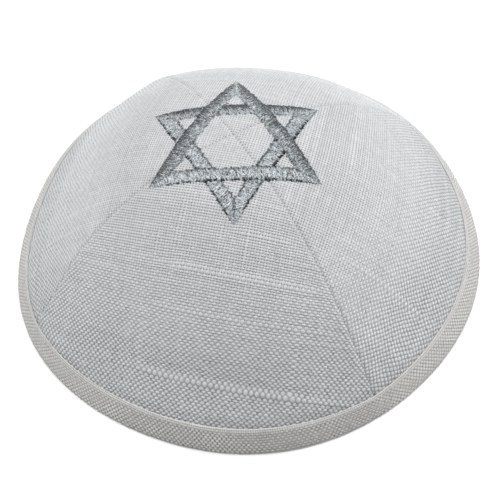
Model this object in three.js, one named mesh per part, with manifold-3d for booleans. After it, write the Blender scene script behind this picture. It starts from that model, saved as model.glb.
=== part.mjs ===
import * as THREE from 'three';
import { mergeVertices } from 'three/addons/utils/BufferGeometryUtils.js';
import Module from 'manifold-3d';

// A cloth skullcap of four panels, with a taped rim and a six-pointed star stitched over its top.
// Millimetres, +Z up. The rim stands on z = 0 and the front panel faces -Y.

// Crown
const rimDiameter = 166; // over the tape
const crownHeight = 47.6;
const clothThickness = 1;
const crownShift = { x: -1.1, y: 2.5 }; // from above the rim's middle to the top
const firstSeamAzimuth = 30.3; // degrees from +X towards +Y
const panelNames = ['panel_back', 'panel_left', 'panel_front', 'panel_right']; // from the first seam on
const topFlatness = 2.45; // the drop below the top grows as the reach to this power
const squareness = 0.195; // how far the panels' middles are drawn in, 1 being a true square
const squareFrom = 0.36; // share of the height where the section is fully squared

// Rim tape, folded over the panels' lower edge
const tapeThickness = 1;
const tapeHeight = 5.9; // upright; the tape is about 7.3 wide along the leaning wall
const foldRise = 0.35; // how far the tape's turned edge rounds up past its height
const swellHeight = 8; // height over which the cloth swells out again above the tape

// Star, two triangular bands, the upright one laid over the other
const starRadius = 32; // middle to tip, laid flat
const starBandWidth = 4.2;
const starThickness = 0.8;
const starOverlay = 0.4; // how much higher the upright triangle is stitched
const overlayInset = 0.35; // from the band's edge to the raised stitches
const starShift = { x: 0.4, y: -1.8 }; // from the crown's top to the star's middle
const starDrawIn = 0.37; // how much the dome draws its plan in, growing as the reach squared

const pieceGap = 0.3; // between neighbouring pieces

// The rim isn't truly round: waves per turn, depth as a share of the rim diameter, azimuth of a crest
const rimWaves = [
  { count: 2, depth: 0.002, azimuth: 133 },
  { count: 3, depth: 0.0022, azimuth: 22 },
  { count: 4, depth: 0.0051, azimuth: 43 },
  { count: 5, depth: 0.0046, azimuth: -13 },
];

// Soft dents: azimuth and width in degrees, height and reach as shares of the crown height,
// depth as a share of the rim diameter
const dents = [
  { azimuth: 212, width: 8, height: 0.36, reach: 0.14, depth: 0.006 }, // foot of the left seam
  { azimuth: 294, width: 7, height: 0.35, reach: 0.13, depth: 0.005 }, // beside the front seam
  { azimuth: 260, width: 24, height: 0.3, reach: 0.1, depth: 0.0035 }, // across the front
  { azimuth: 320, width: 12, height: 0.3, reach: 0.15, depth: 0.006 }, // right panel
  { azimuth: 168, width: 16, height: 0.3, reach: 0.16, depth: 0.004 }, // left panel
  { azimuth: 84, width: 20, height: 0.32, reach: 0.16, depth: 0.004 }, // back panel
];

// Mesh fineness
const stepsPerPanel = 18;
const stepsUp = 16;
const tapeSteps = 3;
const starTurnSteps = 36;
const starRingSteps = 6;
const starSideSteps = 6;

const rimRadius = rimDiameter / 2;
const panelAngle = (2 * Math.PI) / panelNames.length;
const firstSeam = THREE.MathUtils.degToRad(firstSeamAzimuth);

function smooth(x) {
  const s = Math.min(Math.max(x, 0), 1);
  return s * s * (3 - 2 * s);
}

// The profile runs by its climb, an angle from 0 at the rim to a quarter turn at the top
function riseAt(climb) {
  return Math.sin(climb) ** 2;
}

function climbAtHeight(height) {
  return Math.asin(Math.sqrt(height / crownHeight));
}

function climbAtRadius(radius) {
  return Math.acos((radius / rimRadius) ** (topFlatness / 2));
}

function waveAt(azimuth) {
  let wave = 0;
  for (const { count, depth, azimuth: crest } of rimWaves) {
    wave += depth * rimDiameter * Math.cos(count * (azimuth - THREE.MathUtils.degToRad(crest)));
  }
  return wave;
}

function dentAt(azimuth, rise) {
  let dent = 0;
  for (const { azimuth: middle, width, height, reach, depth } of dents) {
    const turn = THREE.MathUtils.radToDeg(azimuth) - middle;
    const across = (THREE.MathUtils.euclideanModulo(turn + 180, 360) - 180) / width;
    const along = (rise - height) / reach;
    dent += depth * rimDiameter * Math.exp(-across * across - along * along);
  }
  return dent;
}

// A point of the crown's skin, lowered by depth square to the skin. At the rim it moves level, so
// that the rim's foot stays flat.
function skinPoint(azimuth, climb, depth) {
  const reach = Math.cos(climb) ** (2 / topFlatness);
  const rise = riseAt(climb);
  const fromMiddle = THREE.MathUtils.euclideanModulo(azimuth - firstSeam, panelAngle) - panelAngle / 2;
  const chord = 1 - Math.cos(panelAngle / 2) / Math.cos(fromMiddle);
  const drawnIn = squareness * smooth(rise / squareFrom) * chord;
  const radius = rimRadius * reach * (1 - drawnIn) + waveAt(azimuth) * (1 - rise);
  const levelShare = (2 * tapeHeight) / crownHeight;
  const outward = (topFlatness * reach ** (topFlatness - 1)) / rimRadius;
  const normal = new THREE.Vector2(outward, 1 / crownHeight).normalize();
  const way = new THREE.Vector2(outward, smooth(rise / levelShare) / crownHeight).normalize();
  const inward = (depth + dentAt(azimuth, rise)) / way.dot(normal);
  const distance = radius - inward * way.x;
  return new THREE.Vector3(
    crownShift.x * rise + distance * Math.cos(azimuth),
    crownShift.y * rise + distance * Math.sin(azimuth),
    crownHeight * rise - inward * way.y,
  );
}

// Joins loops of equally many points into one closed surface. Loops that don't come round to the
// first again get end caps, in which point i of a loop faces the i-th point from its end.
function loft(loops, comesRound) {
  const count = loops[0].length;
  const faces = [];
  const addQuad = (a, b, c, d) => faces.push([a, b, c], [a, c, d]);
  const bands = comesRound ? loops.length : loops.length - 1;
  for (let k = 0; k < bands; k += 1) {
    const here = k * count;
    const there = ((k + 1) % loops.length) * count;
    for (let i = 0; i < count; i += 1) {
      const j = (i + 1) % count;
      addQuad(here + i, here + j, there + j, there + i);
    }
  }
  if (!comesRound) {
    const end = (loops.length - 1) * count;
    for (let i = 0; i < count / 2 - 1; i += 1) {
      addQuad(count - 1 - i, count - 2 - i, i + 1, i);
      addQuad(end + i, end + i + 1, end + count - 2 - i, end + count - 1 - i);
    }
  }
  return closedGeometry(loops.flat(), faces);
}

// Merges equal points, drops the faces that this empties and turns the rest to point outwards
function closedGeometry(points, faces) {
  const raw = new THREE.BufferGeometry().setFromPoints(points);
  raw.setIndex(faces.flat());
  const geometry = mergeVertices(raw);
  const position = geometry.getAttribute('position');
  const kept = [];
  let volume = 0;
  for (let i = 0; i < geometry.index.count; i += 3) {
    const [a, b, c] = [0, 1, 2].map((corner) => geometry.index.getX(i + corner));
    if (a !== b && b !== c && c !== a) {
      kept.push([a, b, c]);
      const [p, q, r] = [a, b, c].map((v) => new THREE.Vector3().fromBufferAttribute(position, v));
      volume += p.dot(q.cross(r));
    }
  }
  geometry.setIndex(kept.flatMap(([a, b, c]) => (volume > 0 ? [a, b, c] : [a, c, b])));
  return geometry;
}

// One panel: a wall of cloth between two seams, from inside the tape up to a point at the top.
// Under the tape it lies deeper than the skin, and above it swells out again.
function panelGeometry(index) {
  const seam = firstSeam + index * panelAngle;
  const tipRadius = pieceGap / 2 / Math.sin(panelAngle / 2);
  const lowClimb = climbAtHeight(tapeThickness + pieceGap);
  const topClimb = climbAtRadius(tipRadius);
  const tuckTop = tapeHeight + tapeThickness;
  const loops = [];
  for (let row = 0; row <= stepsUp; row += 1) {
    const climb = THREE.MathUtils.lerp(lowClimb, topClimb, row / stepsUp);
    const height = crownHeight * riseAt(climb);
    const tuck = (tapeThickness + pieceGap) * (1 - smooth((height - tuckTop) / swellHeight));
    const radius = rimRadius * Math.cos(climb) ** (2 / topFlatness);
    const seamTurn = Math.asin(Math.min(pieceGap / 2 / radius, Math.sin(panelAngle / 2)));
    const outer = [];
    const inner = [];
    for (let step = 0; step <= stepsPerPanel; step += 1) {
      const share = step / stepsPerPanel;
      const azimuth = seam + THREE.MathUtils.lerp(seamTurn, panelAngle - seamTurn, share);
      outer.push(skinPoint(azimuth, climb, tuck));
      inner.unshift(skinPoint(azimuth, climb, tuck + clothThickness));
    }
    loops.push([...outer, ...inner]);
  }
  return loft(loops, false);
}

// The tape's section: an outer wall, a floor under the cloth and an inner wall, each wall's upper
// edge rounded where the tape is turned under
function tapeGeometry() {
  const innerFace = tapeThickness + clothThickness + 2 * pieceGap;
  const wallHeights = (from) => {
    const heights = [];
    for (let step = 0; step <= tapeSteps; step += 1) {
      heights.push(THREE.MathUtils.lerp(from, tapeHeight, step / tapeSteps));
    }
    return heights;
  };
  const up = (from, depth) => wallHeights(from).map((height) => ({ height, depth }));
  const down = (to, depth) => up(to, depth).reverse();
  const foldTop = tapeHeight + foldRise;
  const section = [
    ...up(0, 0),
    { height: foldTop, depth: tapeThickness / 2 },
    ...down(tapeThickness, tapeThickness),
    ...up(tapeThickness, innerFace),
    { height: foldTop, depth: innerFace + tapeThickness / 2 },
    ...down(0, innerFace + tapeThickness),
  ];
  const loops = [];
  const steps = stepsPerPanel * panelNames.length;
  for (let step = 0; step < steps; step += 1) {
    const azimuth = firstSeam + (2 * Math.PI * step) / steps;
    loops.push(section.map(({ height, depth }) => skinPoint(azimuth, climbAtHeight(height), depth)));
  }
  return loft(loops, true);
}

// A ring-shaped layer over the crown's top, between two heights above the skin
function layerOverCrown(low, high) {
  const margin = starBandWidth;
  const innerRadius = Math.max(starRadius / 2 - starBandWidth - margin, pieceGap);
  const outerRadius = starRadius + margin;
  const loops = [];
  for (let turn = 0; turn < starTurnSteps; turn += 1) {
    const azimuth = firstSeam + (2 * Math.PI * turn) / starTurnSteps;
    const above = [];
    const below = [];
    for (let ring = 0; ring <= starRingSteps; ring += 1) {
      const radius = THREE.MathUtils.lerp(innerRadius, outerRadius, ring / starRingSteps);
      const climb = climbAtRadius(radius);
      above.push(skinPoint(azimuth, climb, -high));
      below.unshift(skinPoint(azimuth, climb, -low));
    }
    loops.push([...above, ...below]);
  }
  return loft(loops, true);
}

// An upright prism whose plan is a triangular band; its tips point along azimuth and two others.
// The band is straight when flat, and laid over the dome its sides bow out a little.
function bandPrism(azimuth, inset) {
  const tipAt = (radius, tip) => {
    const angle = azimuth + (2 * Math.PI * tip) / 3;
    return new THREE.Vector2(radius * Math.cos(angle), radius * Math.sin(angle));
  };
  const outline = (radius) => {
    const points = [];
    for (let tip = 0; tip < 3; tip += 1) {
      for (let step = 0; step < starSideSteps; step += 1) {
        const flat = tipAt(radius, tip).lerp(tipAt(radius, tip + 1), step / starSideSteps);
        const point = flat.add(starShift);
        points.push(point.multiplyScalar(1 - starDrawIn * (point.length() / rimRadius) ** 2));
      }
    }
    return points;
  };
  // A triangle's sides lie half as far from its middle as its tips do
  const band = new THREE.Shape(outline(starRadius - 2 * inset));
  band.holes.push(new THREE.Path(outline(starRadius - 2 * (starBandWidth - inset))));
  const prism = new THREE.ExtrudeGeometry(band, { depth: 2 * crownHeight, bevelEnabled: false });
  return prism.translate(crownShift.x, crownShift.y, 0);
}

const manifold = await Module();
manifold.setup();

function solidFrom(geometry) {
  const bare = geometry.clone();
  bare.deleteAttribute('normal');
  bare.deleteAttribute('uv');
  const merged = mergeVertices(bare);
  const vertProperties = new Float32Array(merged.getAttribute('position').array);
  const triVerts = new Uint32Array(merged.index.array);
  return new manifold.Manifold(new manifold.Mesh({ numProp: 3, vertProperties, triVerts }));
}

function geometryFrom(solid) {
  const { vertProperties, triVerts } = solid.getMesh();
  const geometry = new THREE.BufferGeometry();
  geometry.setAttribute('position', new THREE.BufferAttribute(vertProperties, 3));
  geometry.setIndex(new THREE.BufferAttribute(triVerts, 1));
  return geometry;
}

function starGeometry() {
  const upright = Math.PI / 2;
  const hanging = -Math.PI / 2;
  const top = pieceGap + starThickness;
  const firstLayer = solidFrom(layerOverCrown(pieceGap, top));
  const overlay = solidFrom(layerOverCrown(top - starThickness / 2, top + starOverlay));
  const bands = solidFrom(bandPrism(upright, 0)).add(solidFrom(bandPrism(hanging, 0)));
  const raisedBand = solidFrom(bandPrism(upright, overlayInset));
  const star = firstLayer.intersect(bands).add(overlay.intersect(raisedBand));
  return geometryFrom(star);
}

const cloth = new THREE.MeshStandardMaterial({ color: 0xdfdfdd, roughness: 0.92, metalness: 0 });
const tape = new THREE.MeshStandardMaterial({ color: 0xd6d4d0, roughness: 0.9, metalness: 0 });
const thread = new THREE.MeshStandardMaterial({ color: 0xa3a9ad, roughness: 0.38, metalness: 0.6 });

function piece(name, geometry, material) {
  geometry.computeVertexNormals();
  const mesh = new THREE.Mesh(geometry, material);
  mesh.name = name;
  return mesh;
}

const kippah = new THREE.Group();
panelNames.forEach((name, index) => kippah.add(piece(name, panelGeometry(index), cloth)));
kippah.add(piece('rim_binding', tapeGeometry(), tape));
kippah.add(piece('star_embroidery', starGeometry(), thread));

// The origin is under the middle of the cap's box, on the surface that the rim stands on
const box = new THREE.Box3().setFromObject(kippah);
const middle = box.getCenter(new THREE.Vector3());
kippah.position.set(-middle.x, -middle.y, -box.min.z);

export default kippah;
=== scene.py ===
import math

import bmesh
import bpy
import numpy as np
from mathutils import Matrix, Vector


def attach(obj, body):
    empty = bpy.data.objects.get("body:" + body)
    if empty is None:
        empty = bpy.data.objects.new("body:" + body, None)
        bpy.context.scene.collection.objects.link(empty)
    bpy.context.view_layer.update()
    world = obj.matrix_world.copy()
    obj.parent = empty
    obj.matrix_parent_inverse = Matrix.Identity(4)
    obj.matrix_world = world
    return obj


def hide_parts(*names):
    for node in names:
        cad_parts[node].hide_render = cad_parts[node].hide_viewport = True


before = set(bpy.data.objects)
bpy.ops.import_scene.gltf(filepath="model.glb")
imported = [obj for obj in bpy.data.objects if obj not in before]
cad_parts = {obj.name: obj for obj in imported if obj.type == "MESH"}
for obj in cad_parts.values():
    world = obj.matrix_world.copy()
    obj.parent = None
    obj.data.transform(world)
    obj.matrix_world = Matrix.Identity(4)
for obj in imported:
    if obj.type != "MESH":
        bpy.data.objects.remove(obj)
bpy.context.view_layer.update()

# Lengths are in millimetres until a piece's points are set, which are in metres
mm = 0.001

crown = {
    "rimDiameter": 166,
    "height": 47.6,
    "shift": (-1.1, 2.5),  # from above the rim's middle to the top
    "firstSeam": 30.3,  # azimuth, in degrees
    "topFlatness": 2.45,  # the crown's curve is a parabola at 2, and flatter on top above that
    "squareness": 0.195,  # how far the panels' middles are drawn in from the round
    "squareFrom": 0.36,  # rise at which they are, from 0 at the rim to 1 at the top
    "middle": (-0.465, 1.037),  # moves the rim's middle to the middle of the cap's box
}
rimWaves = [  # waves round the rim, size as a share of its diameter, azimuth
    (2, 0.0020, 133),
    (3, 0.0022, 22),
    (4, 0.0051, 43),
    (5, 0.0046, -13),
]
dents = [  # azimuth and its width, rise and its reach, depth as a share of the diameter
    (212, 8, 0.36, 0.14, 0.0060),
    (294, 7, 0.35, 0.13, 0.0050),
    (260, 24, 0.30, 0.10, 0.0035),
    (320, 12, 0.30, 0.15, 0.0060),
    (168, 16, 0.30, 0.16, 0.0040),
    (84, 20, 0.32, 0.16, 0.0040),
]
rimRadius = crown["rimDiameter"] / 2
crownShift = np.array(crown["shift"])
firstSeam = math.radians(crown["firstSeam"])
quarter = math.pi / 2


def smooth(x):
    s = np.clip(x, 0, 1)
    return s * s * (3 - 2 * s)


def between(value, start, end):  # from 0 at the start to 1 at the end
    return smooth((value - start) / (end - start))


def changed(first, value, changes):  # a first value, and what each change adds by its end
    return first + sum(gain * between(value, start, end) for start, end, gain in changes)


def waveAt(azimuth):
    waves = (size * np.cos(count * (azimuth - math.radians(turn))) for count, size, turn in rimWaves)
    return crown["rimDiameter"] * sum(waves)


def dentAt(azimuth, rise):
    dent = 0
    for middle, width, middleRise, reach, depth in dents:
        across = ((np.degrees(azimuth) - middle + 180) % 360 - 180) / width
        along = (rise - middleRise) / reach
        dent = dent + depth * crown["rimDiameter"] * np.exp(-(across**2) - along**2)
    return dent


def drawnIn(azimuth, rise):  # the share by which the crown's section is drawn in from the round
    fromMiddle = (azimuth - firstSeam) % quarter - quarter / 2
    chord = 1 - math.cos(quarter / 2) / np.cos(fromMiddle)
    return crown["squareness"] * smooth(rise / crown["squareFrom"]) * chord


def radiusAt(azimuth, rise):  # from the leaning axis out to the skin
    reach = np.maximum(1 - rise, 0) ** (1 / crown["topFlatness"])
    return rimRadius * reach * (1 - drawnIn(azimuth, rise)) + waveAt(azimuth) * (1 - rise)


def skinPoint(azimuth, height, depth):  # near the rim, moved inwards by depth
    rise = height / crown["height"]
    reach = (1 - rise) ** (1 / crown["topFlatness"])
    outward = crown["topFlatness"] * reach ** (crown["topFlatness"] - 1) / rimRadius
    upright = 1 / crown["height"]
    level = smooth(height / (2 * binding["height"])) * upright
    wayLength = np.hypot(outward, level)
    square = (outward**2 + level * upright) / wayLength / np.hypot(outward, upright)
    inward = (depth + dentAt(azimuth, rise)) / square
    distance = radiusAt(azimuth, rise) - inward * outward / wayLength
    x = crownShift[0] * rise + distance * np.cos(azimuth)
    y = crownShift[1] * rise + distance * np.sin(azimuth)
    return np.stack([x, y, height - inward * level / wayLength + 0 * x], -1)


def heightOver(x, y):  # the skin's height above a place near the crown's top
    rise = np.full(np.shape(x), 0.95)  # a first guess, which each turn betters
    for _ in range(20):
        a, b = x - crownShift[0] * rise, y - crownShift[1] * rise
        azimuth = np.arctan2(b, a)
        reach = (np.hypot(a, b) - waveAt(azimuth) * (1 - rise)) / rimRadius / (1 - drawnIn(azimuth, rise))
        rise = 1 - np.clip(reach, 0, 1) ** crown["topFlatness"]
    return crown["height"] * rise


def softNoise(x, y, size, seed):  # smooth values from -1 to 1 that change over about size
    cells = 64
    spots = np.random.default_rng(seed).uniform(-1, 1, (cells, cells))
    a, b = np.asarray(x) / size + cells / 2, np.asarray(y) / size + cells / 2
    i, j = np.floor(a).astype(int), np.floor(b).astype(int)
    s, t = smooth(a - i), smooth(b - j)
    i, j = i % (cells - 1), j % (cells - 1)
    low = spots[i, j] * (1 - s) + spots[i + 1, j] * s
    high = spots[i, j + 1] * (1 - s) + spots[i + 1, j + 1] * s
    return low * (1 - t) + high * t


# Meshes

def pointsOf(mesh):
    points = np.empty(len(mesh.vertices) * 3, np.float32)
    mesh.vertices.foreach_get("co", points)
    return points.reshape(-1, 3).astype(float)


def newGrid(name, columns, rows):  # a flat grid, with each point's column and row
    bm = bmesh.new()
    bmesh.ops.create_grid(bm, x_segments=columns, y_segments=rows, size=0.5)
    mesh = bpy.data.meshes.new(name)
    bm.to_mesh(mesh)
    bm.free()
    places = np.rint((pointsOf(mesh)[:, :2] + 0.5) * (columns, rows)).astype(int)
    return mesh, places[:, 0], places[:, 1]


def placePoints(mesh, points):  # from the rim's middle to the cap's own frame, in metres
    moved = (points + (*crown["middle"], 0)) * mm
    mesh.vertices.foreach_set("co", moved.astype(np.float32).ravel())


def addThreadMap(mesh, across, along):
    corners = np.empty(len(mesh.loops), np.int32)
    mesh.loops.foreach_get("vertex_index", corners)
    places = np.stack([across, along], -1)[corners]
    mesh.uv_layers.new(name="threads").data.foreach_set("uv", places.astype(np.float32).ravel())


def addValues(mesh, name, values):
    mesh.attributes.new(name, "FLOAT", "POINT").data.foreach_set("value", values.astype(np.float32))


def addPiece(name, mesh, finish, node):
    mesh.materials.append(finish.material)
    mesh.polygons.foreach_set("use_smooth", [True] * len(mesh.polygons))
    mesh.set_sharp_from_angle(angle=math.radians(65))  # folds sharper than this keep their edge
    piece = bpy.data.objects.new(name, mesh)
    bpy.context.scene.collection.objects.link(piece)
    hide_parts(node)
    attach(piece, "root")
    return piece


# Finishes

class Value:  # a socket that can be used in sums
    def __init__(self, finish, socket):
        self.finish = finish
        self.socket = socket

    def sum(self, operation, *values):
        return self.finish.node("ShaderNodeMath", {"operation": operation}, dict(enumerate(values)))

    def __add__(self, other):
        return self.sum("ADD", self, other)

    def __sub__(self, other):
        return self.sum("SUBTRACT", self, other)

    def __mul__(self, other):
        return self.sum("MULTIPLY", self, other)

    def __truediv__(self, other):
        return self.sum("DIVIDE", self, other)

    def __pow__(self, other):
        return self.sum("POWER", self, other)

    def __radd__(self, other):
        return self.sum("ADD", other, self)

    def __rsub__(self, other):
        return self.sum("SUBTRACT", other, self)

    def __rmul__(self, other):
        return self.sum("MULTIPLY", other, self)

    def __rtruediv__(self, other):
        return self.sum("DIVIDE", other, self)

    def __rpow__(self, other):
        return self.sum("POWER", other, self)

    def limited(self):
        return self.finish.node("ShaderNodeClamp", {}, {"Value": self})


class Finish:
    def __init__(self, name, **fixed):
        self.material = bpy.data.materials.new(name)
        self.material.use_nodes = True
        self.tree = self.material.node_tree
        self.shader = self.tree.nodes["Principled BSDF"]
        for socket, value in fixed.items():
            self.shader.inputs[socket.replace("_", " ")].default_value = value

    def fill(self, socket, value):
        if isinstance(value, Value):
            self.tree.links.new(value.socket, socket)
        else:
            socket.default_value = value

    def node(self, kind, settings, values, output=0):
        made = self.tree.nodes.new(kind)
        for name, setting in settings.items():
            setattr(made, name, setting)
        for socket, value in values.items():
            self.fill(made.inputs[socket], value)
        return Value(self, made.outputs[output])

    def mix(self, factor, first, second):
        values = {0: factor, 6: first, 7: second}
        return self.node("ShaderNodeMix", {"data_type": "RGBA"}, values, 2)

    def attribute(self, name):
        return self.node("ShaderNodeAttribute", {"attribute_name": name}, {}, "Fac")

    def noise(self, place, scale, detail):
        values = {"Vector": place, "Scale": scale, "Detail": detail}
        return self.node("ShaderNodeTexNoise", {}, values)

    def finishWith(self, **varying):
        for socket, value in varying.items():
            self.fill(self.shader.inputs[socket.replace("_", " ")], value)
        return self


weave = {  # widths and lengths are half of a float's, in threads
    "pitch": 0.89,
    "lift": 0.31,  # height of a weft float, the pebbles that show
    "weftLength": 0.93,
    "weftWidth": (0.49, 0.2),  # at its flattest, and how much a plump weft adds
    "warpLength": 0.8,
    "warpWidth": 0.5,
    "warpHeight": (1.25, -0.65),  # as a share of a weft float's
    "slubPull": 0.2,  # how far a fat weft pulls in to a row of knots
    "hollow": 0.2,  # height of the gaps between floats, as a share of the lift
    "mean": 0.2,  # the weave's mean height, in millimetres
}


def sloped(pair, value):  # the pair's first number, and its second for each unit of the value
    return value * pair[1] + pair[0]


def nearest(value):
    return value.sum("ROUND", value) if isinstance(value, Value) else np.rint(value)


def floatHeights(u, v, halfU, halfV, odd):  # squared heights of the floats on both halves of their lattice
    heights = []
    for start in (0, 1):
        a, b = u - (start + odd), v - start
        a, b = a - 2 * nearest(a * 0.5), b - 2 * nearest(b * 0.5)
        heights.append(1 - (a / halfU) ** 2 - (b / halfV) ** 2)
    return heights


def weaveHeight(u, v, plump, fat=1):  # from 0 to 1 over the cloth; u and v count the warp and weft threads
    halfU = weave["weftLength"] * np.clip(fat, 0.9, 3) ** -weave["slubPull"]
    weft = np.maximum(*floatHeights(u, v, halfU, sloped(weave["weftWidth"], plump) * fat, 0))
    warp = np.maximum(*floatHeights(u, v, weave["warpWidth"], weave["warpLength"], 1))
    warpHeight = sloped(weave["warpHeight"], plump) * np.sqrt(np.maximum(warp, 0))
    return np.maximum(np.maximum(np.sqrt(np.maximum(weft, 0)), warpHeight), weave["hollow"])


fibres = {
    "stretch": (1.2, 9, 1),  # they run along the weft
    "scale": 2.2,
    "hairScale": 3.1,
    "patchScale": 0.035,
    "relief": 0.3,  # as a share of the weave's lift
    "hairRelief": 0.25,
    "contrast": 0.22,
    "patchContrast": 0.04,
    "paintedGapShadeAtHeight": (1.3, -1.6),  # painted shade in the gaps between floats: how dark they are at height 0, and how that changes as it grows
    "paintedGapShadeAtPlumpness": (-0.3, 2.6),
    "paintedGapShadeStrength": 0.95,
    "roughness": (0.86, 0.1),
}


def wovenFinish(name, light, dark, lift):
    finish = Finish(name, Specular_IOR_Level=0.2, Sheen_Weight=0.1, Sheen_Roughness=0.5)
    threads = finish.node("ShaderNodeUVMap", {"uv_map": "threads"}, {})
    u = finish.node("ShaderNodeSeparateXYZ", {}, {0: threads}, "X")
    v = Value(finish, u.socket.node.outputs["Y"])
    plump = finish.attribute("plump")
    higher = lambda first, second: u.sum("MAXIMUM", first, second)
    weftWidth = sloped(weave["weftWidth"], plump)
    weft = higher(higher(*floatHeights(u, v, weave["weftLength"], weftWidth, 0)), 0.0)
    warp = higher(higher(*floatHeights(u, v, weave["warpWidth"], weave["warpLength"], 1)), 0.0)
    height = higher(u.sum("SQRT", weft), u.sum("SQRT", warp) * sloped(weave["warpHeight"], plump))
    stretched = finish.node("ShaderNodeMapping", {}, {"Vector": threads, "Scale": fibres["stretch"]})
    fibre = finish.noise(stretched, fibres["scale"], 3)
    hairs = finish.noise(threads, fibres["hairScale"], 4)
    patches = finish.noise(threads, fibres["patchScale"], 2)
    raised = (height + fibre * fibres["relief"] + hairs * fibres["hairRelief"]) * (lift * mm)
    # the gaps between floats are darkened in the colour, as painted shade
    paintedGapShade = sloped(fibres["paintedGapShadeAtHeight"], height).limited() * sloped(fibres["paintedGapShadeAtPlumpness"], plump).limited()
    share = finish.attribute("tone") + (fibre - 0.5) * fibres["contrast"]
    share = share + (patches - 0.5) * fibres["patchContrast"]
    shade = (share - paintedGapShade * fibres["paintedGapShadeStrength"]).limited()
    return finish.finishWith(
        Base_Color=finish.mix(shade, (*dark, 1), (*light, 1)),
        Roughness=sloped(fibres["roughness"], hairs - 0.5),
        Normal=finish.node("ShaderNodeBump", {}, {"Strength": 1.0, "Distance": 1.0, "Height": raised}),
    )


satin = {
    "dark": (0.05, 0.056, 0.062),
    "light": (0.72, 0.77, 0.80),
    "metallic": 0.3,
    "roughness": (0.6, -0.12),  # of dark thread, and how that changes as it gets lighter
    "glintScale": 3400,
    "glintContrast": 2.6,
    "glintHeight": 0.1,
}


def satinFinish(name):
    finish = Finish(name, Metallic=satin["metallic"])
    place = finish.node("ShaderNodeTexCoord", {}, {}, "Object")
    glint = finish.noise(place, satin["glintScale"], 2)
    shade = (finish.attribute("tone") + (glint - 0.5) * satin["glintContrast"]).limited()
    bump = {"Strength": 0.5, "Distance": satin["glintHeight"] * mm, "Height": glint}
    return finish.finishWith(
        Base_Color=finish.mix(shade, (*satin["dark"], 1), (*satin["light"], 1)),
        Roughness=sloped(satin["roughness"], shade),
        Normal=finish.node("ShaderNodeBump", {}, bump),
    )


clothFinish = wovenFinish("slubbed cloth", light=(0.81, 0.82, 0.83), dark=(0.12, 0.125, 0.13), lift=0.3)
tapeFinish = wovenFinish("bias tape", light=(0.765, 0.753, 0.738), dark=(0.12, 0.113, 0.105), lift=0.25)
threadFinish = satinFinish("metallic thread")
print("finishes made")

# Panels, each a grid of its own threads laid over the crown and cut at its seams

panels = {
    "names": ["panel_back", "panel_left", "panel_front", "panel_right"],  # from the first seam on
    "thickness": 0.9,
    "tuck": 0.6,  # how deep the cloth lies under the tape
    "reliefFrom": 4.6,  # heights between which the weave rises out of the tape
    "reliefTo": 5.8,
    "swellFrom": 5.3,  # heights between which the cloth comes out to the skin
    "swellTo": 8.5,
    "billow": 0.3,  # soft unevenness of the cloth, over what length, and how far from a seam it is full
    "billowOver": 22,
    "billowFromSeam": 12,
    "seamDip": 0.42,
    "seamWidth": 0.6,
    "seamGap": 0.03,
    "lowEdge": 1.5,
    "threadsAcross": 148,
    "threadsAlong": 120,
    "finePerThread": 3,
    "threadsPerCoarse": 3,  # the inside is coarser
    "margins": (1.0, 4.5),  # cloth left beyond the cuts on its outside and its inside, for them to trim
    "spacing": 0.06,  # how unevenly the threads are spaced
    "drift": 0.25,  # how far they wander, and over what lengths
    "driftOver": (14, 17),
    "fatness": 0.06,  # how much threads differ in width
    "fatnessAlong": 0.12,  # how much one differs along its length, between places so many cells apart
    "drawnEvery": (9, 24),
    "fatnessOfFloats": 0.12,
    "warpShare": 0.5,  # of a warp thread's width that its weft floats take on
    "slubShare": 0.2,  # threads with a slub of chance, and its half length and gain
    "slubHalf": (8, 60),  # in cells
    "slubGain": (0.25, 0.7),
    "slubEnds": 6,  # over what length a slub of the table grows and fades
    "slubWobble": 0.35,  # how unevenly, and over what length
    "slubWobbleOver": 4,
    "push": 0.6,  # how far a fat thread moves its neighbours, and over how many threads
    "pushOver": 4,
    "calm": [(0.75, 0.9, -0.55)],  # from rise, to rise, change: threads are more even at the top
    "plump": 1.1,
    "plumpChanges": [(0.3, 0.9, -0.6), (0.9, 0.98, -0.12)],
    "reliefGain": (0.6, 0.5),  # of flat weave, and what plumpness adds
    "tone": 0.89,
    # painted shade: from rise, to rise, change; the cloth is darker low on the walls and at the top
    "paintedShadeByRise": [(0.2, 0.45, 0.09), (0.6, 0.9, -0.09)],
    "toneOfThreads": (0.02, 0.015),  # how much weft and warp threads differ
    "toneOfFatness": 0.11,
    "toneOfFloats": 0.025,
}
slubs = {  # kind, thread, from and to in millimetres from the panel's middle or low end, gain
    "panel_front": [
        ("weft", 24, -16.2, 39.6, 1.5),
        ("weft", 48, -14.8, 45.7, 0.5),
        ("weft", 62, -10.5, 38.4, 1.1),
        ("weft", 77, 6.6, 29.2, 0.7),
        ("warp", 58, 16.7, 42.5, 0.8),
        ("warp", 59, 55, 66.5, 0.7),
        ("warp", 65, 55, 77.6, 0.7),
        ("warp", 70, 54.7, 65, 0.6),
        ("warp", 80, 61.2, 71.9, 0.9),
        ("warp", 89, 56.8, 71.1, 0.7),
        ("warp", 111, 15.7, 55.3, 0.8),
    ],
    "panel_right": [
        ("weft", 57, -23.6, 2.9, 0.7),
        ("weft", 71, -3.5, 21.4, 0.7),
        ("warp", 42, 17, 58.4, 1.1),
        ("warp", 48, 49.5, 62.3, 0.7),
    ],
    "panel_left": [],
    "panel_back": [],
}


def threadVariation(count, length, seed):  # how fat each thread is along its length
    pick = np.random.default_rng(seed)
    fat = np.empty((count + 1, length))
    along = np.arange(length)
    for row in fat:
        drawn = np.arange(0, length + 30, pick.integers(*panels["drawnEvery"]))
        row[:] = 1 + pick.normal(0, panels["fatness"])
        row += np.interp(along, drawn, pick.normal(0, panels["fatnessAlong"], len(drawn)))
        if pick.random() < panels["slubShare"]:
            middle, half = pick.uniform(0, length), pick.uniform(*panels["slubHalf"])
            row += pick.uniform(*panels["slubGain"]) * np.exp(-((np.abs(along - middle) / half) ** 4))
    return fat


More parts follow.
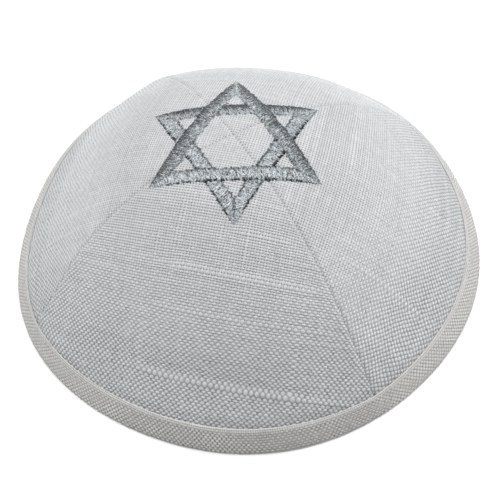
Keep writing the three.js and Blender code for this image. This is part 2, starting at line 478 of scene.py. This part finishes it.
def push(offset):  # how far a fat thread moves the cloth beside it, at an offset in threads
    away = np.abs(offset)
    return panels["push"] * np.sign(offset) * np.minimum(away, 1) * np.exp(-away / panels["pushOver"])


def layThreads(index, name, pick):  # where the flat cloth's points lie, and how fat their threads are
    fine = panels["finePerThread"]
    columns, rows = panels["threadsAcross"] * fine, panels["threadsAlong"] * fine
    cell = weave["pitch"] / fine
    spacing = lambda count: np.repeat(1 + pick.normal(0, panels["spacing"], count // fine + 1), fine)[:count]
    across = np.concatenate([[0], np.cumsum(spacing(columns))]) * cell
    across -= across[columns // 2]
    along = np.concatenate([[0], np.cumsum(spacing(rows))]) * cell
    weftFat = threadVariation(rows // fine + 1, columns + 1, 200 + index)
    warpFat = threadVariation(columns // fine + 1, rows + 1, 300 + index)
    grid = np.meshgrid(across, along)
    s, t = grid[0].copy(), grid[1].copy()
    for kind, thread, start, end, gain in slubs[name]:
        places = across if kind == "weft" else along
        there = smooth((places - start) / panels["slubEnds"]) * smooth((end - places) / panels["slubEnds"])
        there = gain * there
        wobble = softNoise(places, 0 * places, panels["slubWobbleOver"], 400 + thread)
        wobble = 1 + panels["slubWobble"] * wobble
        if kind == "weft":
            weftFat[thread] += there * wobble
            offset = np.arange(rows + 1) / fine - (thread - 0.5)
            t += push(offset)[:, None] * there[None, :] * weave["pitch"]
        else:
            warpFat[thread] += there * wobble
            offset = np.arange(columns + 1) / fine - (thread - 0.5)
            s += push(offset)[None, :] * there[:, None] * weave["pitch"]
    s += panels["drift"] * softNoise(*grid, panels["driftOver"][0], 500 + index)
    t += panels["drift"] * softNoise(*grid, panels["driftOver"][1], 600 + index)
    return s, t, weftFat, warpFat


def panelWeave(u, v, rise, weftFat, warpFat, pick):  # each point's relief, tone and plumpness
    i, j = np.floor(u + 0.4).astype(int), np.floor(v + 0.4).astype(int)  # the threads that it lies on
    rows, columns = u.shape
    share = panels["warpShare"]
    fat = 1 - share + share * warpFat[i, np.arange(rows)[:, None]]
    fat = weftFat[j, np.arange(columns)[None, :]] * fat
    uneven = pick.normal(0, 1, (j.max() + 1, i.max() + 1))[j, i]
    fat = fat * (1 + panels["fatnessOfFloats"] * uneven)
    fat = 1 + (fat - 1) * changed(1, rise, panels["calm"])
    plump = changed(panels["plump"], rise, panels["plumpChanges"])
    relief = weaveHeight(u, v, plump, fat) * np.sqrt(fat) * weave["lift"] - weave["mean"]
    ofWeft, ofWarp = panels["toneOfThreads"]
    tone = pick.normal(0, ofWeft, panels["threadsAlong"] + 2)[j]
    tone = tone + pick.normal(0, ofWarp, panels["threadsAcross"] + 2)[i]
    tone = tone + panels["toneOfFatness"] * np.minimum(fat - 1, 0.5) + panels["toneOfFloats"] * uneven
    # painted shade by rise
    tone = tone + changed(panels["tone"], rise, panels["paintedShadeByRise"])
    return relief * sloped(panels["reliefGain"], plump), tone, plump


def trim(mesh, away):  # leaves out the points that lie away
    bm = bmesh.new()
    bm.from_mesh(mesh)
    bm.verts.ensure_lookup_table()
    bmesh.ops.delete(bm, geom=[bm.verts[k] for k in np.flatnonzero(away)], context="VERTS")
    bm.to_mesh(mesh)
    bm.free()


def panelCloth(index, name):
    fine = panels["finePerThread"]
    pick = np.random.default_rng(100 + index)
    s, t, weftFat, warpFat = layThreads(index, name, pick)
    rows, columns = s.shape[0] - 1, s.shape[1] - 1
    points, normals, azimuth, rise = layOverCrown(firstSeam + (index + 0.5) * quarter, s, t)
    u, v = np.meshgrid(np.arange(columns + 1) / fine + 0.5, np.arange(rows + 1) / fine + 0.5)
    relief, tone, plump = panelWeave(u, v, rise, weftFat, warpFat, pick)

    seams = [seamPlane(firstSeam + index * quarter, -1), seamPlane(firstSeam + (index + 1) * quarter, 1)]
    edge = np.minimum(*[points @ plane for plane in seams])
    height = points[..., 2]
    relief = relief * between(height, panels["reliefFrom"], panels["reliefTo"])
    swell = between(height, panels["swellFrom"], panels["swellTo"])
    billow = panels["billow"] * softNoise(s, t, panels["billowOver"], 700 + index)
    depth = panels["tuck"] * (1 - swell) + dentAt(azimuth, rise)
    depth = depth - billow * smooth(edge / panels["billowFromSeam"]) * swell
    dip = panels["seamDip"] * np.exp(-((edge / panels["seamWidth"]) ** 2))
    outer = points - normals * (depth + dip - relief)[..., None]
    inner = points - normals * (depth + panels["thickness"])[..., None]

    bm = bmesh.new()
    steps = (1, panels["threadsPerCoarse"] * fine)
    for place, step, margin in zip((outer, inner), steps, panels["margins"]):
        mesh, column, row = newGrid(name, columns // step, rows // step)
        column, row = column * step, row * step
        placePoints(mesh, place[row, column])
        addThreadMap(mesh, column / fine + 0.5, row / fine + 0.5)
        addValues(mesh, "tone", tone[row, column])
        addValues(mesh, "plump", plump[row, column])
        away = (edge[row, column] < -margin) | (place[row, column, 2] < panels["lowEdge"] - margin)
        trim(mesh, away)
        bm.from_mesh(mesh)
        bpy.data.meshes.remove(mesh)

    start = Vector((*crown["middle"], 0)) * mm
    cuts = [(start - way * panels["seamGap"] * mm, way) for way in (Vector(-seam) for seam in seams)]
    cuts.append((Vector((0, 0, panels["lowEdge"] * mm)), Vector((0, 0, -1))))
    for place, way in cuts:
        geometry = [*bm.verts, *bm.edges, *bm.faces]
        bmesh.ops.bisect_plane(bm, geom=geometry, dist=1e-9, plane_co=place, plane_no=way, clear_outer=True)
    closeEdges(bm, cuts)
    mesh = bpy.data.meshes.new(name)
    bm.to_mesh(mesh)
    bm.free()
    return mesh


def seamPlane(azimuth, side):  # the way from a seam's plane into the panel beside it
    way = np.cross((math.cos(azimuth), math.sin(azimuth), 0), (*crownShift, crown["height"]))
    return side * way / np.linalg.norm(way)


def layOverCrown(middle, across, along):  # lays flat cloth over the crown, from its middle line out
    rises = 1 - np.linspace(1, 0, 500) ** 2
    radius = radiusAt(np.full(rises.shape, middle), rises)
    line = np.stack([
        crownShift[0] * rises + radius * np.cos(middle),
        crownShift[1] * rises + radius * np.sin(middle),
        crown["height"] * rises,
    ], -1)
    steps = np.linalg.norm(np.diff(line, axis=0), axis=1)
    length = np.concatenate([[0], np.cumsum(steps)])
    way = np.gradient(line, length, axis=0)
    level = np.array([-math.sin(middle), math.cos(middle), 0])
    square = np.cross(level, way)
    square /= np.linalg.norm(square, axis=1)[:, None]
    atLength = lambda values: np.stack([np.interp(along, length, values[:, k]) for k in range(3)], -1)
    start, down = atLength(line), -atLength(square)
    start = start + atLength(way) * np.maximum(along - length[-1], 0)[..., None]
    bend = 100.0  # radius of the curve in which the cloth runs out from the middle line
    start = start + level * (bend * np.sin(across / bend))[..., None]
    low, high = np.full(across.shape, -5.0), np.full(across.shape, 60.0)  # drops that enclose the skin
    for _ in range(28):  # halves the drop to the skin each time
        drop = (low + high) / 2
        point = start + down * drop[..., None]
        rise = point[..., 2] / crown["height"]
        a, b = point[..., 0] - crownShift[0] * rise, point[..., 1] - crownShift[1] * rise
        within = np.hypot(a, b) < radiusAt(np.arctan2(b, a), rise)
        high = np.where(within, drop, high)
        low = np.where(within, low, drop)
    normals = np.cross(np.gradient(point, axis=1), np.gradient(point, axis=0))
    normals /= np.maximum(np.linalg.norm(normals, axis=-1), 1e-9)[..., None]
    return point, normals, np.arctan2(b, a), rise


def closeEdges(bm, cuts):  # joins the two faces of the cloth along each cut
    near = 2e-6
    onCut = lambda vert, cut: abs((vert.co - cut[0]).dot(cut[1])) < near
    border = [edge for edge in bm.edges if edge.is_boundary]
    ends = {vert for edge in border for vert in edge.verts}
    for first, second in ((0, 1), (0, 2), (1, 2)):
        corners = [vert for vert in ends if onCut(vert, cuts[first]) and onCut(vert, cuts[second])]
        border.append(bm.edges.new(corners))
    for cut in cuts:
        ring = [edge for edge in border if all(onCut(vert, cut) for vert in edge.verts)]
        wall = bmesh.ops.contextual_create(bm, geom=ring)["faces"]
        bmesh.ops.triangulate(bm, faces=wall)
    bmesh.ops.recalc_face_normals(bm, faces=bm.faces)


for index, name in enumerate(panels["names"]):
    mesh = panelCloth(index, name)
    addPiece(name.replace("panel", "cloth"), mesh, clothFinish, name)
    print(name, "laid,", len(mesh.polygons), "faces")

# Rim tape, one closed section carried round the rim

binding = {
    "height": 5.9,
    "columns": 1692,
    "threads": 700,  # round the rim, an even number, so that the weave closes
    "threadsAcross": 40,  # more than show
    "outerRows": 30,  # that show, and the length of a row that doesn't
    "innerRow": 0.9,
    "section": [  # height, depth
        (0.0, 1.7), (0.0, 1.0), (0.14, 0.62), (0.5, 0.24), (1.1, 0.0), (2.4, -0.04), (4.0, 0.0), (4.9, 0.03),
        (5.2, 0.0), (5.5, -0.08), (5.8, -0.1), (6.02, 0.02), (6.08, 0.26), (5.95, 0.44), (5.5, 0.5),
        (3.5, 0.52), (1.6, 0.55), (1.3, 0.8), (1.2, 1.6), (1.3, 2.1), (1.6, 2.25),
        (3.5, 2.25), (5.4, 2.2), (5.8, 2.25), (5.95, 2.5), (5.8, 2.8), (5.4, 2.9),
        (4.0, 2.92), (2.5, 2.92), (1.1, 2.95), (0.5, 2.85), (0.12, 2.55), (0.0, 2.2), (0.0, 1.7),
    ],
    "around": 0.985,  # the rim's length, as a share of its circle's
    "skew": 0.07,  # how far the tape's threads lean
    "rowsPerThread": 0.96,
    "sways": ((0.4, 11, 0), (0.25, 7, 1)),  # how far the threads sway, how often and from what angle
    "fold": (4.9, 5.4),  # heights between which the tape turns over its top edge
    "spotSize": 7,  # of plumper and paler spots
    "plumpSpots": 0.3,
    "foldFlattens": 0.5,  # the weave where the tape turns
    "unevenFloats": 0.15,
    "mean": 0.6,  # the weave's mean height, as a share of its lift
    "lift": 0.75,  # as a share of the panels' weave
    "tone": 0.87,
    "toneSpots": 0.07,
    "toneFloats": 0.04,
    "paintedShadeAtBottom": 0.08,  # painted shade: the tape is darker at the bottom by this much, and lightens up to this height
    "paintedShadeUpTo": 3,
    "toneFront": -0.12,  # the front has less light, and begins so far out, as a share of the radius
    "frontFrom": 0.75,
    "foldPaintedHighlight": (0.03, 0.14),  # painted highlight on the turned edge, and what it gains at the front
}


def tapeMesh():
    section = np.array(binding["section"])
    line = skinPoint(0.0, section[:, 0], section[:, 1])
    length = np.concatenate([[0], np.cumsum(np.linalg.norm(np.diff(line, axis=0), axis=1))])
    columns, threads = binding["columns"], binding["threads"]
    cell = 2 * math.pi * binding["around"] * rimRadius / columns
    outer = np.arange(binding["outerRows"]) * cell + length[1]
    rest = np.arange(outer[-1] + binding["innerRow"], length[-1], binding["innerRow"])
    rowLength = np.concatenate([[0], outer, rest, [length[-1]]])
    mesh, column, row = newGrid("tape", columns, len(rowLength) - 1)
    height = np.interp(rowLength, length, section[:, 0])[row]
    depth = np.interp(rowLength, length, section[:, 1])[row]
    azimuth = firstSeam + 2 * math.pi * column / columns
    up = (rowLength[row] - length[1]) / cell * threads / columns
    swayU, swayV = (size * np.sin(count * azimuth + start) for size, count, start in binding["sways"])
    u = column * threads / columns + up * binding["skew"] + swayU
    v = up * binding["rowsPerThread"] + swayV
    shown = (row >= 1) & (row <= binding["outerRows"])
    fold = between(height, *binding["fold"])
    x, y = rimRadius * np.cos(azimuth), rimRadius * np.sin(azimuth)
    spots = softNoise(x, y + 3 * height, binding["spotSize"], 31)
    across = binding["threadsAcross"]
    uneven = np.random.default_rng(32).normal(0, 1, (threads, across))
    uneven = uneven[np.floor(u + 0.5).astype(int) % threads, np.floor(v + 0.5).astype(int) % across]
    plump = (1 + binding["plumpSpots"] * spots) * (1 - binding["foldFlattens"] * fold)
    relief = weaveHeight(u, v, plump) * (1 + binding["unevenFloats"] * uneven) - binding["mean"]
    relief = np.where(shown, relief * plump, 0) * weave["lift"] * binding["lift"]
    points = skinPoint(azimuth, height, depth - relief)
    points[:, 2] = np.maximum(points[:, 2], 0)
    placePoints(mesh, points)
    addThreadMap(mesh, u, v)
    front = between(-np.sin(azimuth), binding["frontFrom"], 1)
    tone = binding["tone"] + binding["toneSpots"] * spots + binding["toneFloats"] * uneven
    # painted shade, darker at the bottom and at the front
    tone = tone + binding["paintedShadeAtBottom"] * between(height, 0, binding["paintedShadeUpTo"]) + binding["toneFront"] * front
    # painted highlight on the turned edge
    tone = tone + fold * shown * sloped(binding["foldPaintedHighlight"], front)
    addValues(mesh, "tone", tone)
    addValues(mesh, "plump", plump)
    bm = bmesh.new()
    bm.from_mesh(mesh)
    bmesh.ops.remove_doubles(bm, verts=bm.verts, dist=1e-7)
    bmesh.ops.recalc_face_normals(bm, faces=bm.faces)
    bm.to_mesh(mesh)
    bm.free()
    return mesh


mesh = tapeMesh()
addPiece("tape_rim", mesh, tapeFinish, "rim_binding")
print("rim tape folded,", len(mesh.polygons), "faces")

# Star, six sides of satin stitch; the upright triangle is stitched over the hanging one

star = {
    "radius": 32.6,
    "bandWidth": 5.2,
    "shift": (0.4, -2.4),
    "drawIn": 0.37,  # how far the dome draws the flat star in
    "stitchPitch": 0.27,
    "columnsPerStitch": 4,
    "topRows": 12,  # across the band
    "slant": 0.2,  # how far a stitch leans, for each millimetre across the band
    "puff": 0.34,
    "puffVaries": 0.07,
    "stitchRound": 0.05,  # depth of the grooves between stitches
    "raggedEnds": 0.17,
    "grooveEnds": 0.15,  # how much shorter the grooves between stitches are
    "tipWidth": 0.3,  # what is left of the band at its tips
    "overHeight": 0.3,
    "overSlope": 1.3,  # over what width the upright triangle climbs
    "sunk": 0.2,  # how deep the bands' edges lie in the cloth
    "tone": 0.53,
    # painted shade in the grooves between stitches
    "paintedGrooveShade": 0.08,
    "grain": 0.16,  # how much the thread's tone varies, in so many places across a stitch
    "grainAcross": 8,
    "frontFlankPaintedShade": [(0.5, 0.9, 0.4)],  # painted shade on the flank that faces back, on bands of the star's front half
    "backFlankPaintedShade": [(-0.6, 0.7, 0.52)],  # from and to across the band, and how dark
    "dashShare": 0.55,  # of stitch pairs that end in a dark dash of painted shadow, on the front half's outer edges
    "dashPaintedShadow": 0.9,
    "dashSide": -0.78,  # where they begin, from -1 at the band's outer edge to 1 at its inner one
    "fleckShares": (0.1, 0.07),  # of dark flecks, and of bright flecks, which are painted glints
    "fleckContrast": 0.4,
}


def starPlace(x, y, lift):  # from the flat star to the dome
    flat = np.stack([x, y], -1) + star["shift"]
    radius = np.linalg.norm(flat, axis=-1)
    plan = flat * (1 - star["drawIn"] * (radius / rimRadius) ** 2)[..., None] + crownShift
    a, b = plan[..., 0], plan[..., 1]
    height = heightOver(a, b)
    step = 0.2
    slopeX = (heightOver(a + step, b) - heightOver(a - step, b)) / (2 * step)
    slopeY = (heightOver(a, b + step) - heightOver(a, b - step)) / (2 * step)
    normal = np.stack([-slopeX, -slopeY, np.ones_like(a)], -1)
    normal /= np.linalg.norm(normal, axis=-1)[..., None]
    return np.stack([a, b, height], -1) + normal * lift[..., None]


def starSide(tipAngle, over, seed):  # the side that faces away from a tip
    pick = np.random.default_rng(seed)
    half = star["radius"] * math.sqrt(3) / 2
    stitches = round(2 * half / star["stitchPitch"])
    each, top = star["columnsPerStitch"], star["topRows"]
    columns = stitches * each
    mesh, column, row = newGrid("side", columns, top + 2)
    inward = np.array([math.cos(tipAngle), math.sin(tipAngle)])
    along = np.array([-inward[1], inward[0]])
    p = (column / columns * 2 - 1) * half * 0.998  # along the band, just short of its tips
    width = np.minimum(star["bandWidth"], (half - np.abs(p)) / math.sqrt(3)) + star["tipWidth"]
    stitch = np.rint(column / each).astype(int) % stitches
    groove = (1 - np.cos(2 * math.pi * column / each)) / 2
    # over the top from the outer edge to the inner one, and back below
    rows = [0, 1, 2, top - 2, top - 1, top, top + 1, top + 2]
    share = np.interp(row, rows, [0, 0.02, 0.1, 0.9, 0.98, 1, 0.5, 0])
    ragged, short = star["raggedEnds"], star["grooveEnds"] * groove
    tufts = pick.normal(0, ragged, (2, stitches // 3 + 1))[:, stitch // 3]
    outerEnd = pick.normal(0, ragged * 0.7, stitches)[stitch] + short + 0.5 * tufts[0]
    innerEnd = pick.normal(0, ragged, stitches)[stitch] + short + tufts[1]
    q = outerEnd + share * (width - outerEnd - innerEnd)  # across it, from its outer edge
    side = 2 * share - 1
    arch = (1 - np.abs(side) ** 3) ** 0.6
    full = np.minimum(width / star["bandWidth"], 1) ** 0.6
    lift = star["puff"] * full * arch * (1 + pick.normal(0, star["puffVaries"], stitches)[stitch])
    lift -= star["stitchRound"] * groove * (1 + 1.2 * np.abs(side) ** 3)
    p = p + star["slant"] * (q - width / 2)
    x = -inward[0] * star["radius"] / 2 + along[0] * p + inward[0] * q
    y = -inward[1] * star["radius"] / 2 + along[1] * p + inward[1] * q
    if over:
        lift += star["overHeight"] * overHanging(x, y)
    under = (row == 0) | (row >= top)
    lift = np.where(under, -star["sunk"], lift)
    placePoints(mesh, starPlace(x, y, lift))
    # the grooves between stitches are darkened, as painted shade
    tone = starTone(pick, stitches, stitch, side, inward[1]) - star["paintedGrooveShade"] * groove
    addThreadMap(mesh, column / each, share * 10)
    addValues(mesh, "tone", tone)
    return mesh


def starTone(pick, stitches, stitch, side, inwardY):  # the satin's flank that faces back is darkened, as painted shade
    cells = star["grainAcross"]
    cell = np.clip((side + 1) * cells / 2, 0, cells - 1).astype(int)
    grain = pick.normal(0, 1, (stitches, cells))[stitch, cell]
    flecks = pick.random((stitches, cells))[stitch, cell]
    # painted shade on the flank that faces back
    if inwardY > 0:
        flankPaintedShade = changed(0, side, star["frontFlankPaintedShade"])
    else:
        flankPaintedShade = changed(0, side * inwardY, star["backFlankPaintedShade"])
    # dark dashes of painted shadow where the stitches go into the cloth
    shadowDashes = (pick.random(stitches // 2 + 1) < star["dashShare"])[stitch // 2]
    edge = (side < star["dashSide"]) & (inwardY > 0) & shadowDashes
    darkShare, paintedGlintShare = star["fleckShares"]
    # bright flecks are painted glints; dark flecks vary the thread's tone
    glintsAndDarkFlecks = (flecks > 1 - paintedGlintShare) * 1.0 - (flecks < darkShare)
    tone = star["tone"] - flankPaintedShade - star["dashPaintedShadow"] * edge + star["grain"] * grain
    return tone + star["fleckContrast"] * glintsAndDarkFlecks


def overHanging(x, y):  # 1 where the hanging triangle lies below
    under = np.zeros_like(x)
    slope = star["overSlope"]
    for k in range(3):
        tip = -quarter + k * 2 * math.pi / 3
        off = -(x * math.cos(tip) + y * math.sin(tip)) - (star["radius"] - star["bandWidth"]) / 2
        side = np.abs(-x * math.sin(tip) + y * math.cos(tip))
        near = smooth((star["bandWidth"] / 2 + slope - np.abs(off)) / slope)
        under = np.maximum(under, near * (side < star["radius"] * 0.8))
    return under


bm = bmesh.new()
for over in (False, True):
    for k in range(3):
        mesh = starSide((quarter if over else -quarter) + k * 2 * math.pi / 3, over, 40 + 3 * over + k)
        bm.from_mesh(mesh)
        bpy.data.meshes.remove(mesh)
bmesh.ops.remove_doubles(bm, verts=bm.verts, dist=1e-7)
bmesh.ops.holes_fill(bm, edges=[edge for edge in bm.edges if edge.is_boundary], sides=0)
bmesh.ops.recalc_face_normals(bm, faces=bm.faces)
mesh = bpy.data.meshes.new("star")
bm.to_mesh(mesh)
bm.free()
addPiece("embroidered_star", mesh, threadFinish, "star_embroidery")
print("star stitched,", len(mesh.polygons), "faces")

# Floor, light and camera

studio = {
    "cameraPlace": (11.838, -156.443, 211.187),
    "cameraRight": (0.99877, 0.00075, -0.04962),
    "cameraUp": (0.02799, 0.81716, 0.57573),
    "picture": 500,  # its width in pixels, and the camera's focal length in them
    "focus": 727.5,
    "sensorWidth": 36,
    "floorRadius": 3,  # this and the lights are in metres
    "lights": [  # name, place, size, power
        ("softTop", (0.0, 0.15, 1.1), 0.9, 10.0),
        ("softLeft", (-1.0, 0.4, 0.5), 0.6, 3.4),
        ("softRight", (1.0, 0.4, 0.45), 0.6, 5.2),
    ],
    "lit": (0, 0, 0.03),  # the place that the lights look at
    "sky": (0.95, 0.97, 1, 1),
    "skyStrength": 0.15,
    "floorColour": (0.95, 0.95, 0.95, 1),
    "floorGlow": 0.1,
}

bm = bmesh.new()
bmesh.ops.create_circle(bm, cap_ends=True, segments=96, radius=studio["floorRadius"])
mesh = bpy.data.meshes.new("floor")
bm.to_mesh(mesh)
bm.free()
floor = bpy.data.objects.new("floor", mesh)
bpy.context.scene.collection.objects.link(floor)
floorFinish = Finish("pale floor", Base_Color=studio["floorColour"], Roughness=0.9)
floorFinish.finishWith(Emission_Color=(1, 1, 1, 1), Emission_Strength=studio["floorGlow"])
floor.data.materials.append(floorFinish.material)

world = bpy.data.worlds.new("studio")
bpy.context.scene.world = world
world.use_nodes = True
sky = world.node_tree.nodes["Background"].inputs
sky["Color"].default_value = studio["sky"]
sky["Strength"].default_value = studio["skyStrength"]

for name, place, size, power in studio["lights"]:
    light = bpy.data.lights.new(name, "AREA")
    light.shape = "DISK"
    light.size = size
    light.energy = power
    lamp = bpy.data.objects.new(name, light)
    lamp.location = place
    lamp.rotation_euler = (Vector(studio["lit"]) - Vector(place)).to_track_quat("-Z", "Y").to_euler()
    bpy.context.scene.collection.objects.link(lamp)

camera = bpy.data.objects.new("camera", bpy.data.cameras.new("camera"))
bpy.context.scene.collection.objects.link(camera)
bpy.context.scene.camera = camera
right, up = Vector(studio["cameraRight"]).normalized(), Vector(studio["cameraUp"])
back = right.cross(up).normalized()
up = back.cross(right)
turn = Matrix((right, up, back)).transposed().to_4x4()
camera.matrix_world = Matrix.Translation(Vector(studio["cameraPlace"]) * mm) @ turn
camera.data.sensor_width = studio["sensorWidth"]
camera.data.lens = studio["focus"] * studio["sensorWidth"] / studio["picture"]
camera.data.clip_start = 0.01
bpy.context.scene.view_settings.view_transform = "Standard"
print("studio set")
